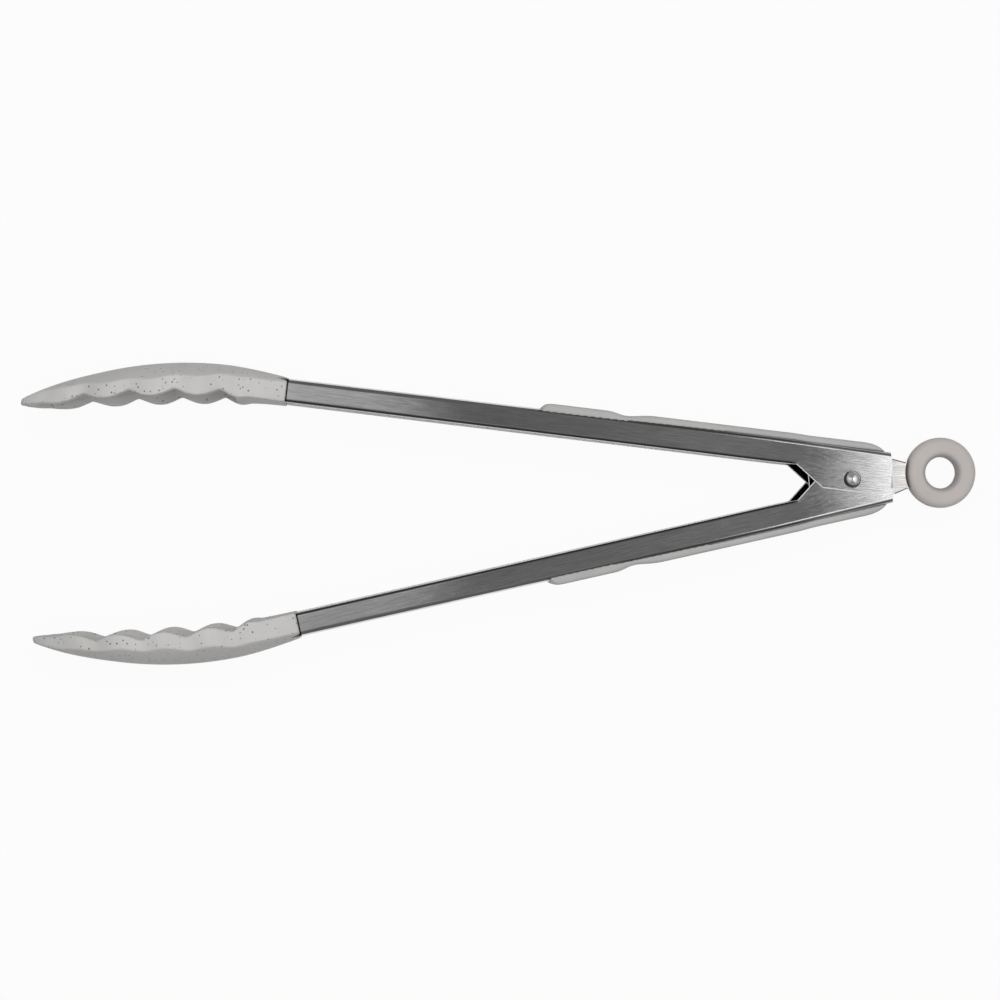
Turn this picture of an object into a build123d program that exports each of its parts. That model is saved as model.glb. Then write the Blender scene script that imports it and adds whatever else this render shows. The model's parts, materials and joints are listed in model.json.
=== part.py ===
from build123d import *
from math import acos, atan2, cos, degrees, pi, radians, sin, sqrt
import os

# Spring-loaded kitchen tongs with silicone heads, lying on their side. Sizes are in millimetres.
#
# The hinge pin stands upright. The two jaws open in the horizontal plane: their heads point to
# -X, the hanging ring to +X, and the upper jaw is the one on the +Y side.
#
# Each jaw is drawn on its own plane: x runs from the hinge pin to the tip, y points away from the
# other jaw, and z runs across the width of the jaw. The second jaw is the first one turned over.

os.makedirs("parts", exist_ok=True)

# ---- sheet metal arms -----------------------------------------------------------------------
sheet = 0.8                 # thickness of the steel
ear_gap = 0.12              # air between the two nested ears on each side of the hinge
open_angle = 9.5            # each arm's slope away from the middle line, open
web_distance = 10.65        # hinge pin to the outside of the web
hinge_width = 16.6          # outside width of the channel at the hinge
head_end_width = 21.0       # outside width of the channel at its front end
flare_start = 30.0          # where the channel starts to widen
arm_length = 200.0          # hinge pin to the front end of the arm
rear_reach = 13.9           # hinge pin to the rear edge of the open arms
wall_at_hinge = 7.4         # depth of the channel at the ears
wall_at_front = 6.7         # depth of the channel at its front end
bend_radius = 1.7           # outside radius between web and walls
lip_width = 3.2             # edge turned into the channel, measured from the outside of the wall
lip_radius = 1.1            # outside radius between wall and lip
ear_front = 19.4            # where the lips end and the ears begin
ear_nose = 9.7              # front corner of the ear's lower edge
ear_drop = 4.0              # how far the ears reach past the hinge pin
ear_heel = 5.5              # where the ear's lower edge starts to curve up, behind the pin
ear_heel_rise = 6.6         # how far the rear curve of the ear climbs
ear_heel_radius = 16.0

# ---- hinge pin, spring ----------------------------------------------------------------------
pin_radius = 2.0
pin_fit = 0.05              # radial running clearance in the ears
pin_play = 0.06             # clearance under the pin's two heads
dome_radius = 2.92
dome_height = 1.5
tail_radius = 2.75
tail_height = 0.9
wire_radius = 0.55
coil_radius = 3.35          # middle of the wire
coil_pitch = 1.16
coil_turns = 2              # whole turns in each half of the spring
leg_reach = 15.0            # where the spring legs touch the webs
bridge_height = 1.4         # half the height of the bridge between the two inner legs
leg_clearance = 0.05        # between the spring legs and the webs

# ---- lock plate and hanging ring ------------------------------------------------------------
plate_thickness = 1.0
plate_swing = 1.5           # the plate hangs a little to one side on the pin, in degrees
plate_front = 13.6          # pin to the inner end of the plate
plate_half_width = 6.5      # at the inner end
neck_half_width = 6.0       # where the plate leaves the arms
neck_reach = 16.3           # place of that width
throat_half_width = 4.6     # where the plate enters the ring
plate_travel = 8.5          # how far the plate pulls out
slot_fit = 0.12             # slot to pin, on each side
end_hollow = 0.6            # depth of the curve across the inner end
ring_distance = 32.3        # pin to the middle of the ring
ring_radius = 12.0
hole_radius = 5.35
ring_height = 6.4
ring_rounding = 2.4
eyelet_radius = 9.4
eyelet_hole = 7.6

# ---- heads ----------------------------------------------------------------------------------
collar_overlap = 7.9        # how far the head reaches back over the arm
collar_start = arm_length - collar_overlap
collar_half_width = 12.2
collar_bottom = 3.2         # lower edge of the collar, measured like web_distance
crest_reach = 12.0          # front end of the arm to the highest point of the head's back
crest_place = arm_length + crest_reach
crest_height = 13.95
back_radius = 122.7         # curve of the back from collar to tip
crown_radius = 34.7         # curve of the back from side to side
head_half_width = 20.0
widest_reach = 36.0         # front end of the arm to the widest point of the head
widest_place = arm_length + widest_reach
head_reach = 78.3           # front end of the arm to the corners of the tip
tip_place = arm_length + head_reach
tip_half_width = 4.6
tip_bulge = 1.3
tip_edge = -8.15            # height of the inner edge at the tip
head_wall = 3.2
notch_reach = 13.3          # front end of the arm to the first notch
first_notch = arm_length + notch_reach
notch_pitch = 14.77
notch_count = 4
notch_height = 4.0          # height of the first notch
notch_slope = 0.1
notch_curve = 0.0011
lobe_depth = 1.4            # how far each lobe stands past its notches
end_lobe_depth = 0.9        # the same for the lobes beside the neck and the tip
straight_reach = 4.5        # front end of the arm to the end of the straight neck
neck_front = arm_length + straight_reach
chin_reach = 71.0           # front end of the arm to where the last lobe meets the flat tip
chin_place = arm_length + chin_reach
chin_height = -6.4
dish_reach = 9.0            # front end of the arm to the hollow of the head
dish_start = arm_length + dish_reach
core_cover = 1.1            # silicone over the core
core_thickness = 1.0
core_edge = 3.6             # core's edge to the outside of the head
core_tip_gap = 9.0
tongue_length = 18.0        # how far the core reaches into the arm
tongue_start = arm_length - tongue_length
tongue_fit = 0.06
root_reach = 6.0            # front end of the arm to the end of the core's thick root
root_end = arm_length + root_reach
root_half_width = 8.0
root_bottom = 5.6

# ---- grips ----------------------------------------------------------------------------------
grip_nose = 107.0
grip_tail = 10.6            # behind the pin
grip_thickness = 2.5
grip_inset = 1.7            # edge of the web left bare on each side
grip_dip_place = 79.5
grip_dip_depth = 0.95
grip_dip_length = 11.0
nose_length = 5.0
tail_length = 8.0
grip_rounding = 0.9
stud_places = (36.0, 66.0, 96.0)
stud_radius = 2.4
stud_head_radius = 3.8
stud_head_height = 1.0

# ---- where things stand ---------------------------------------------------------------------
stagger = (sheet + ear_gap) / 2              # each arm stands this far off the middle plane
mid_height = head_half_width + stagger       # the heads rest on the ground
half_stack = hinge_width / 2 + stagger       # middle plane to the outside of the ears
slope = radians(open_angle)
tip_reach = (tip_place + tip_bulge) * cos(slope) - tip_edge * sin(slope)
ring_reach = ring_distance * cos(radians(plate_swing)) + ring_radius
pin_x = (tip_reach - ring_reach) / 2         # puts the origin in the middle of the length
pin_plane = Plane(origin=(pin_x, 0, mid_height))


def jaw_plane(side):
    """Middle plane of one jaw: side is 1 for the upper jaw and -1 for the lower one."""
    return Plane(
        origin=(pin_x, 0, mid_height + side * stagger),
        x_dir=(-cos(slope), side * sin(slope), 0),
        z_dir=(0, 0, -side),
    )


def plan_plane(jaw, height=0.0):
    """Plane across the jaw, seen from its back, at a height above the hinge pin."""
    return Plane(origin=jaw.origin + jaw.y_dir * height, x_dir=jaw.x_dir, z_dir=jaw.y_dir)


def edge_height(place):
    """Height of the channel's free edge at a place along the arm."""
    share = (place - ear_front) / (arm_length - ear_front)
    return web_distance - wall_at_hinge - share * (wall_at_front - wall_at_hinge)


def half_width(place):
    """Half the outside width of the channel at a place along the arm."""
    share = max(0.0, (place - flare_start) / (arm_length - flare_start))
    return (hinge_width + share * (head_end_width - hinge_width)) / 2


def channel_block(jaw, start, end, inset, below_web, above_edge, web_round=0.0, edge_round=0.0):
    """Solid with the channel's taper: inset from its walls, its web and its free edge."""
    top = web_distance - below_web
    places = [start, flare_start, end] if start < flare_start < end else [start, end]
    right = [(place, half_width(place) - inset) for place in places]
    left = [(place, inset - half_width(place)) for place in reversed(places)]
    with BuildPart() as block:
        with BuildSketch(jaw):
            with BuildLine():
                Polyline(
                    (start, top),
                    (end, top),
                    (end, edge_height(end) + above_edge),
                    (start, edge_height(start) + above_edge),
                    close=True,
                )
            make_face()
        extrude(amount=head_end_width, both=True)
        with BuildSketch(plan_plane(jaw)):
            with BuildLine():
                Polyline(*right, *left, close=True)
            make_face()
        extrude(amount=2 * web_distance, both=True, mode=Mode.INTERSECT)
        faces_by_height = block.faces().sort_by(Axis(jaw.origin, jaw.y_dir))
        across = Axis(jaw.origin, jaw.z_dir)
        top_edges = faces_by_height[-1].edges().filter_by(across, reverse=True)
        low_edges = faces_by_height[0].edges().filter_by(across, reverse=True)
        if web_round:
            fillet(top_edges, web_round)
        if edge_round:
            fillet(low_edges, edge_round)
    return block.part


def make_arm(jaw):
    """Steel channel with turned-in lips, and an ear on each side at the hinge."""
    start = -rear_reach - web_distance
    inner_bend = bend_radius - sheet
    inner_lip = lip_radius - sheet
    ear_top = web_distance - bend_radius
    ear_back = -rear_reach - ear_drop
    outside = channel_block(jaw, start, arm_length, 0, 0, 0, bend_radius, lip_radius)
    inside = channel_block(jaw, start, arm_length + 1, sheet, sheet, sheet, inner_bend, inner_lip)
    mouth = channel_block(jaw, start, arm_length + 1, lip_width, bend_radius, -1)
    ear_space = channel_block(jaw, start, ear_front, sheet, bend_radius, -1)
    with BuildPart() as arm:
        add(outside)
        add(inside, mode=Mode.SUBTRACT)
        add(mouth, mode=Mode.SUBTRACT)
        add(ear_space, mode=Mode.SUBTRACT)
        with BuildSketch(jaw.offset(-hinge_width / 2), jaw.offset(hinge_width / 2 - sheet)):
            with BuildLine():
                Polyline(
                    (-ear_heel, -ear_drop),
                    (ear_nose, -ear_drop),
                    (ear_front, edge_height(ear_front)),
                    (ear_front, ear_top),
                    (ear_back, ear_top),
                    (ear_back, ear_heel_rise - ear_drop),
                )
                RadiusArc((ear_back, ear_heel_rise - ear_drop), (-ear_heel, -ear_drop), -ear_heel_radius)
            make_face()
        extrude(amount=sheet)
        split(bisect_by=Plane(origin=(pin_x + rear_reach, 0, 0), z_dir=(-1, 0, 0)))
        with BuildSketch(jaw):
            Circle(pin_radius + pin_fit)
        extrude(amount=hinge_width, both=True, mode=Mode.SUBTRACT)
        with BuildSketch(plan_plane(jaw, web_distance)):
            with Locations(*[(place, 0) for place in stud_places]):
                Circle(stud_radius)
        extrude(amount=-2 * sheet, mode=Mode.SUBTRACT)
    return arm.part


def head_back(jaw, depth):
    """Everything inside the head's back, or inside a skin of the given depth under it."""
    turning_axis = Axis(jaw.from_local_coords((crest_place, crest_height - back_radius, 0)), jaw.z_dir)
    section = Plane(
        origin=jaw.from_local_coords((crest_place, crest_height, 0)),
        x_dir=jaw.z_dir,
        z_dir=-jaw.x_dir,
    )
    reach = head_half_width + 2
    crown = crown_radius - depth
    low = crown_radius - sqrt(crown**2 - reach**2)
    base = 2 * head_half_width
    with BuildPart() as back:
        with BuildSketch(section):
            with BuildLine():
                ThreePointArc((-reach, -low), (0, -depth), (reach, -low))
                Polyline((reach, -low), (reach, -base), (-reach, -base), (-reach, -low))
            make_face()
        revolve(axis=turning_axis)
    return back.part


def head_plan(jaw, inset, start):
    """The head's outline seen from its back, as a tall block."""
    rear = collar_half_width - inset
    wide = head_half_width - inset
    tip = max(tip_half_width - inset, 1.0)
    tip_end = tip_place - inset
    with BuildPart() as plan:
        with BuildSketch(plan_plane(jaw)):
            for side in (1, -1):
                with BuildLine():
                    Line((start, 0), (start, side * rear))
                    TangentArc(
                        (widest_place, side * wide),
                        (start, side * rear),
                        tangent=(-1, 0),
                    )
                    TangentArc((widest_place, side * wide), (tip_end, side * tip), tangent=(1, 0))
                    Spline(
                        (tip_end, side * tip),
                        (tip_end + tip_bulge, 0),
                        tangents=((0.6, -side), (0, -side)),
                    )
                    Line((tip_end + tip_bulge, 0), (start, 0))
                make_face()
        extrude(amount=3 * head_half_width, both=True)
    return plan.part


def notch(number):
    """Place and height of one notch in the gripping edge."""
    past = number * notch_pitch
    return first_notch + past, notch_height - notch_slope * past - notch_curve * past**2


def head_side(jaw):
    """The head's outline seen from the side, with its wavy gripping edge, as a wide block."""
    roof = crest_height + 2
    notches = [notch(number) for number in range(notch_count)]
    neck_end = (neck_front, collar_bottom)
    chin = (chin_place, chin_height)
    tip_end = tip_place + 2 * tip_bulge
    with BuildPart() as side_block:
        with BuildSketch(jaw):
            with BuildLine():
                Polyline((tip_end, tip_edge), (tip_end, roof), (collar_start, roof),
                         (collar_start, collar_bottom), neck_end)
                SagittaArc(neck_end, notches[0], -end_lobe_depth)
                for before, after in zip(notches, notches[1:]):
                    SagittaArc(before, after, -lobe_depth)
                SagittaArc(notches[-1], chin, -end_lobe_depth)
                Line(chin, (tip_end, tip_edge))
            make_face()
        extrude(amount=head_half_width + 5, both=True)
    return side_block.part


def make_core(jaw):
    """Hard core inside the head: a curved plate, and a tongue that fills the end of the arm."""
    fit = sheet + tongue_fit
    corner = bend_radius - sheet
    plate_end = tip_place - core_tip_gap
    tongue = channel_block(jaw, tongue_start, root_end - 1, fit, fit, fit, corner, lip_radius - sheet)
    with BuildPart() as root:
        add(head_back(jaw, core_cover))
        with BuildSketch(jaw):
            with BuildLine():
                Polyline(
                    (arm_length, root_bottom),
                    (root_end, root_bottom),
                    (root_end, crest_height),
                    (arm_length, crest_height),
                    close=True,
                )
            make_face()
        extrude(amount=root_half_width, both=True, mode=Mode.INTERSECT)
    with BuildPart() as core:
        add(head_back(jaw, core_cover))
        add(head_back(jaw, core_cover + core_thickness), mode=Mode.SUBTRACT)
        add(head_plan(jaw, core_edge, collar_start), mode=Mode.INTERSECT)
        with BuildSketch(jaw):
            with BuildLine():
                Polyline(
                    (arm_length, root_bottom),
                    (plate_end, tip_edge),
                    (plate_end, crest_height),
                    (arm_length, crest_height),
                    close=True,
                )
            make_face()
        extrude(amount=head_half_width, both=True, mode=Mode.INTERSECT)
        add(root.part)
        add(tongue)
    return core.part


def make_head(jaw, core):
    """Silicone head: a scoop with wavy edges and a collar over the end of the arm."""
    arm_end = channel_block(jaw, collar_start - 5, arm_length, 0, 0, 0, bend_radius, lip_radius)
    with BuildPart() as hollow:
        add(head_back(jaw, head_wall))
        add(head_plan(jaw, head_wall, collar_start), mode=Mode.INTERSECT)
        split(bisect_by=Plane(origin=jaw.from_local_coords((dish_start, 0, 0)), z_dir=jaw.x_dir))
    with BuildPart() as head:
        add(head_back(jaw, 0))
        add(head_plan(jaw, 0, collar_start), mode=Mode.INTERSECT)
        add(head_side(jaw), mode=Mode.INTERSECT)
        add(hollow.part, mode=Mode.SUBTRACT)
        add(arm_end, mode=Mode.SUBTRACT)
        add(core, mode=Mode.SUBTRACT)
    return head.part


def make_grip(jaw):
    """Soft pad on the outside of the arm, held by studs through the web."""
    base = web_distance
    full = web_distance + grip_thickness
    dip = full - grip_dip_depth
    dip_rear = grip_dip_place - grip_dip_length
    dip_front = grip_dip_place + grip_dip_length / 2
    rear = -grip_tail
    with BuildPart() as grip:
        with BuildSketch(jaw):
            with BuildLine():
                Line((rear, base), (grip_nose, base))
                Spline(
                    (grip_nose, base),
                    (grip_nose - nose_length, full),
                    tangents=((0, 1), (-1, 0)),
                )
                Line((grip_nose - nose_length, full), (dip_front, full))
                Spline(
                    (dip_front, full),
                    (grip_dip_place, dip),
                    (dip_rear, full),
                    tangents=((-1, 0), (-1, 0)),
                )
                Line((dip_rear, full), (tail_length + rear, full))
                Spline((tail_length + rear, full), (rear, base), tangents=((-1, 0), (-1, -1)))
            make_face()
        extrude(amount=head_end_width, both=True)
        right = [(place, half_width(place) - grip_inset) for place in (rear, flare_start, grip_nose)]
        left = [(place, -width) for place, width in reversed(right)]
        with BuildSketch(plan_plane(jaw)):
            with BuildLine():
                Polyline(*right, *left, close=True)
            make_face()
        extrude(amount=2 * full, both=True, mode=Mode.INTERSECT)
        outer_rim = grip.edges().filter_by(
            lambda edge: jaw.to_local_coords(edge.center()).Y > base + grip_rounding / 2
        )
        fillet(outer_rim, grip_rounding)
        with BuildSketch(plan_plane(jaw, base)):
            with Locations(*[(place, 0) for place in stud_places]):
                Circle(stud_radius)
        extrude(amount=-sheet)
        with BuildSketch(plan_plane(jaw, base - sheet)):
            with Locations(*[(place, 0) for place in stud_places]):
                Circle(stud_head_radius)
        extrude(amount=-stud_head_height)
    return grip.part


upper = jaw_plane(1)
lower = jaw_plane(-1)

with BuildPart() as upper_arm:
    add(make_arm(upper))

with BuildPart() as lower_arm:
    add(make_arm(lower))

with BuildPart() as upper_head_core:
    add(make_core(upper))

with BuildPart() as lower_head_core:
    add(make_core(lower))

with BuildPart() as upper_head:
    add(make_head(upper, upper_head_core.part))

with BuildPart() as lower_head:
    add(make_head(lower, lower_head_core.part))

with BuildPart() as upper_grip:
    add(make_grip(upper))

with BuildPart() as lower_grip:
    add(make_grip(lower))

# ---- hinge pin: a shaft with a domed head on top and a flatter closing head below ------------
with BuildPart() as hinge_pin:
    top = half_stack + pin_play
    with BuildSketch(Plane(origin=pin_plane.origin, x_dir=(1, 0, 0), z_dir=(0, -1, 0))):
        with BuildLine():
            Line((0, -top - tail_height), (0, top + dome_height))
            TangentArc((0, top + dome_height), (dome_radius, top), tangent=(1, 0))
            Polyline((dome_radius, top), (pin_radius, top), (pin_radius, -top), (tail_radius, -top))
            TangentArc((0, -top - tail_height), (tail_radius, -top), tangent=(1, 0))
        make_face()
    revolve(axis=Axis(pin_plane.origin, (0, 0, 1)))

# ---- torsion spring: two coils on the pin, one bridge on the upper web, two legs on the lower -
leg_height = web_distance - sheet - wire_radius - leg_clearance
upper_foot = pin_plane.to_local_coords(upper.from_local_coords((leg_reach, leg_height, 0)))
foot_distance = sqrt(upper_foot.X**2 + upper_foot.Y**2)
foot_angle = degrees(atan2(upper_foot.Y, upper_foot.X))
leg_angle = foot_angle - degrees(acos(coil_radius / foot_distance))
leg_length = sqrt(foot_distance**2 - coil_radius**2)
leg_rise = leg_length * coil_pitch / (2 * pi * coil_radius)     # the legs keep the coil's slope
coil_height = coil_pitch * (coil_turns + 2 * leg_angle / 360)
coil_start = bridge_height + leg_rise
coil_end = coil_start + coil_height


def spring_point(distance, angle, height):
    """Point of the spring at a distance and angle round the pin."""
    place = (distance * cos(radians(angle)), distance * sin(radians(angle)), height)
    return pin_plane.from_local_coords(place)


with BuildPart() as torsion_spring:
    with BuildLine(Plane(spring_point(0, 0, coil_start))) as coil_line:
        Helix(pitch=coil_pitch, height=coil_height, radius=coil_radius, lefthand=True)
    coil = coil_line.line.rotate(Axis(pin_plane.origin, (0, 0, 1)), leg_angle)
    with BuildLine() as wire_line:
        FilletPolyline(
            spring_point(foot_distance, foot_angle, 0),
            spring_point(foot_distance, foot_angle, bridge_height),
            coil @ 0,
            radius=2 * wire_radius,
        )
        add(coil)
        Line(coil @ 1, spring_point(foot_distance, -foot_angle, coil_end + leg_rise))
    with BuildSketch(Plane(origin=wire_line.line @ 0, z_dir=wire_line.line % 0)):
        Circle(wire_radius)
    sweep(path=wire_line.wires()[0])
    mirror(about=pin_plane)

# ---- lock plate: slides on the pin, and its eyelet is buried in the hanging ring -------------
swing = radians(plate_swing)
plate_plane = Plane(origin=pin_plane.origin, x_dir=(cos(swing), sin(swing), 0))
throat = ring_distance - ring_radius
slot_half = pin_radius + slot_fit

with BuildPart() as lock_plate:
    with BuildSketch(plate_plane):
        with BuildLine():
            ThreePointArc(
                (-plate_front, plate_half_width),
                (end_hollow - plate_front, 0),
                (-plate_front, -plate_half_width),
            )
            Polyline(
                (-plate_front, -plate_half_width),
                (neck_reach, -neck_half_width),
                (throat, -throat_half_width),
                (ring_distance, -throat_half_width),
                (ring_distance, throat_half_width),
                (throat, throat_half_width),
                (neck_reach, neck_half_width),
                (-plate_front, plate_half_width),
            )
        make_face()
        with Locations((ring_distance, 0)):
            Circle(eyelet_radius)
            Circle(eyelet_hole, mode=Mode.SUBTRACT)
        with Locations((-plate_travel / 2, 0)):
            SlotCenterToCenter(plate_travel, 2 * slot_half, mode=Mode.SUBTRACT)
    extrude(amount=plate_thickness / 2, both=True)

ring_middle = plate_plane.from_local_coords((ring_distance, 0, 0))
section_middle = (ring_radius + hole_radius) / 2

with BuildPart() as hang_ring:
    with BuildSketch(Plane(origin=ring_middle, x_dir=(1, 0, 0), z_dir=(0, -1, 0))):
        with Locations((section_middle, 0)):
            RectangleRounded(ring_radius - hole_radius, ring_height, ring_rounding)
    revolve(axis=Axis(ring_middle, (0, 0, 1)))
    add(lock_plate.part, mode=Mode.SUBTRACT)

# ---- write every piece ----------------------------------------------------------------------
pieces = {
    "upper_arm": upper_arm,
    "lower_arm": lower_arm,
    "upper_head_core": upper_head_core,
    "lower_head_core": lower_head_core,
    "upper_head": upper_head,
    "lower_head": lower_head,
    "upper_grip": upper_grip,
    "lower_grip": lower_grip,
    "hinge_pin": hinge_pin,
    "torsion_spring": torsion_spring,
    "lock_plate": lock_plate,
    "hang_ring": hang_ring,
}
for name, piece in pieces.items():
    piece.part.label = name
    export_step(piece.part, f"parts/{name}.step")
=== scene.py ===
import json
from math import cos, pi, radians, sin, sqrt

import bmesh
import bpy
from mathutils import Matrix, Vector


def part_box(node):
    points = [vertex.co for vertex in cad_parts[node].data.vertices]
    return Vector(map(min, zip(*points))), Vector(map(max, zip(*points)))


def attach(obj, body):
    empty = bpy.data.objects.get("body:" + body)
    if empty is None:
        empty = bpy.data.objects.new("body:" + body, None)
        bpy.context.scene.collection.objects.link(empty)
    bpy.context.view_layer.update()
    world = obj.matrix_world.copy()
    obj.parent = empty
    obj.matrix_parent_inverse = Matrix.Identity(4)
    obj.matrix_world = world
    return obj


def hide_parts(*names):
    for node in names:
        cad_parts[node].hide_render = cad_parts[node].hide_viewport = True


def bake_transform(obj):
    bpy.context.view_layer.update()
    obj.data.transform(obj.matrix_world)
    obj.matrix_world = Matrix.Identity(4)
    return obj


bl_info = {
    "name": "Spring-loaded kitchen tongs",
    "version": (1, 0, 0),
    "blender": (4, 5, 0),
    "location": "3D View > Sidebar > Tongs",
    "description": "Dresses the tongs with soft heads, grips, ring, spring and brushed steel",
    "category": "Object",
}

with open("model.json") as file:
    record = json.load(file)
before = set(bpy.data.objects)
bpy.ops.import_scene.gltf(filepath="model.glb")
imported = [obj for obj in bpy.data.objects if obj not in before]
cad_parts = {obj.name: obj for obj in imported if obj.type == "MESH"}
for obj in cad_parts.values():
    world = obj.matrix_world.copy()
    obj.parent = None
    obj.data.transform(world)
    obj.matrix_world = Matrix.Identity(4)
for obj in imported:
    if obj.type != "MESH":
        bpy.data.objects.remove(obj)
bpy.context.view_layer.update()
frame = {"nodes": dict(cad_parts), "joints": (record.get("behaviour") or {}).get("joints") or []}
hinge_place = Vector(
    next(joint["pos_m"] for joint in frame["joints"] if joint["name"] == "upper_jaw_hinge")
)
ring_low, ring_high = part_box("hang_ring")

MM = 0.001
JAWS = {"upper": 1, "lower": -1}

# The arms in jaw coordinates: along the arm from the pin, out from the middle line, and across.
OPEN_ANGLE = radians(9.5)  # between an arm and the middle line
STAGGER = 0.46 * MM  # how far above the pin's middle the upper arm is, and the lower arm below
WEB = 10.65 * MM  # outside of the web
EDGE_REAR, EDGE_FRONT = 3.25 * MM, 3.95 * MM  # free edge of the channel at its two ends
LIP_WIDTH = 3.2 * MM
EAR_DROP, EAR_NOSE, EAR_HEEL = -4.0 * MM, 9.7 * MM, -5.5 * MM
EAR_FRONT = 19.4 * MM  # where the ears end and the lips begin
REAR_REACH = 13.9 * MM  # from the pin to the rear edges, along the tongs
FLARE_START, ARM_END = 30 * MM, 200 * MM
HINGE_HALF, FRONT_HALF = 8.3 * MM, 10.5 * MM  # half the channel's width there
GRIP_NOSE = 107 * MM
COLLAR = 192.1 * MM  # where a head's collar begins

MELTED = 0.002 * MM  # corners of a frame mesh closer than this are one corner
# Painted shade: colour of the dark lines beside the collar, along the lips' bend and along the
# grip's edge.
GAP_SHADE = (0.05, 0.048, 0.048, 1)


def jaw_frame(side):
    """Matrix from jaw coordinates to the frame."""
    along = Vector((-cos(OPEN_ANGLE), side * sin(OPEN_ANGLE), 0))
    out = Vector((sin(OPEN_ANGLE), side * cos(OPEN_ANGLE), 0))
    across = Vector((0, 0, 1))
    turn = Matrix((along, out, across)).transposed().to_4x4()
    return Matrix.Translation(hinge_place + Vector((0, 0, side * STAGGER))) @ turn


# ---- sizes and colours ---------------------------------------------------------------------
def length(name, default, description):
    return bpy.props.FloatProperty(
        name=name, description=description, default=default, min=0, unit="LENGTH", precision=5
    )


def share(name, default, description):
    return bpy.props.FloatProperty(
        name=name, description=description, default=default, min=0, max=1
    )


def amount(name, default, description):
    return bpy.props.FloatProperty(name=name, description=description, default=default)


def colour(name, default, description):
    return bpy.props.FloatVectorProperty(
        name=name, description=description, default=default, size=3, min=0, max=1, subtype="COLOR"
    )


class TongsSteel(bpy.types.PropertyGroup):
    light: colour("Light streaks", (0.80, 0.79, 0.788), "Steel along the bright brush lines")
    dark: colour("Dark streaks", (0.54, 0.535, 0.548), "Steel along the dark brush lines")
    roughness: share("Roughness", 0.085, "Middle roughness of the brushed faces")
    stretch: share("Stretch", 0.9, "How much longer reflections get across the brush lines")
    grain_along: amount("Grain along", 170.0, "Brush lines for each metre along the arm")
    grain_across: amount("Grain across", 3600.0, "Brush lines for each metre across the arm")
    # Painted shade: colour of the shadow inside the channels and between the ears, painted onto the
    # steel.
    inside: colour("Inside", (0.07, 0.07, 0.072), "Dull unbrushed steel inside the channels")
    # Painted highlights: colour of the bright lines along the cut edges, in place of the glints of
    # the edges, and how far these lines reach.
    edge: colour("Edges", (0.96, 0.95, 0.94), "Bare bright metal along the cut edges")
    edge_width: length("Edge width", 0.26 * MM, "How far the bright metal reaches from an edge")
    web_out: length("Web further out", 0.7 * MM, "How much deeper the channels are at the web")
    lips_in: length("Lips further in", 0.5 * MM, "How much deeper the channels are at the lips")
    plate_light: colour("Plate, light", (0.78, 0.77, 0.75), "Lock plate along its bright lines")
    plate_dark: colour("Plate, dark", (0.63, 0.62, 0.61), "Lock plate along its dark lines")
    pin: colour("Pin", (0.88, 0.87, 0.86), "Polished rivet")
    spring: colour("Spring", (0.72, 0.71, 0.70), "Drawn spring wire")


class TongsSilicone(bpy.types.PropertyGroup):
    head: colour("Heads", (0.56, 0.553, 0.545), "Silicone of the heads")
    head_shade: colour("Head clouds", (0.50, 0.495, 0.478), "Slightly darker clouds in the heads")
    speck: colour("Specks", (0.05, 0.045, 0.043), "Dark specks mixed into the heads")
    speck_spacing: length("Speck spacing", 1.3 * MM, "Average distance between two specks")
    speck_size: length("Speck size", 0.27 * MM, "Radius of a speck")
    grip: colour("Grips", (0.44, 0.44, 0.432), "Silicone of the grips")
    ring: colour("Ring", (0.50, 0.465, 0.447), "Silicone of the hanging ring")
    wave_depth: length("Side waves", 1.4 * MM, "How far the heads' sides draw in at each notch")
    upper_edge: length("Upper edge", 0.75 * MM, "How far the upper head's far edge reaches in")
    lower_edge: length("Lower edge", 0.15 * MM, "How far the lower head's far edge reaches in")
    grip_out: length("Grips further out", 0.25 * MM, "How much further out the grips' backs are")
    skin: length("Mesh step", 0.42 * MM, "Size of the mesh on the heads and grips")
    ring_skin: length("Ring mesh step", 0.3 * MM, "Size of the mesh on the ring")


class TongsStage(bpy.types.PropertyGroup):
    floor: colour("Floor", (0.60, 0.60, 0.60), "Floor under the tongs")
    backdrop: share("Backdrop", 1.0, "How white the floor and background are in full light")
    shadow: share("Shadow", 0.06, "How strong the shadow on the floor is")
    sky: amount("Room light", 1.0, "Light of the room, with its two pale walls")
    sides: share("Dim sides", 0.14, "Light of the two dim walls beside the jaws")
    key: amount("Key lamp", 13.5, "Power of the soft lamp above, in watts")
    camera_place: bpy.props.FloatVectorProperty(
        name="Camera place", description="Where the camera stands",
        default=(-0.04496, -0.01121, 0.76421), size=3, subtype="TRANSLATION",
    )
    camera_turn: bpy.props.FloatVectorProperty(
        name="Camera turn", description="How the camera is turned",
        default=(radians(0.9613), radians(-3.2441), radians(-2.93)), size=3, subtype="EULER",
    )
    lens: amount("Lens", 79.38, "Focal length in millimetres")


class TongsSettings(bpy.types.PropertyGroup):
    steel: bpy.props.PointerProperty(type=TongsSteel)
    silicone: bpy.props.PointerProperty(type=TongsSilicone)
    stage: bpy.props.PointerProperty(type=TongsStage)


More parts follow.
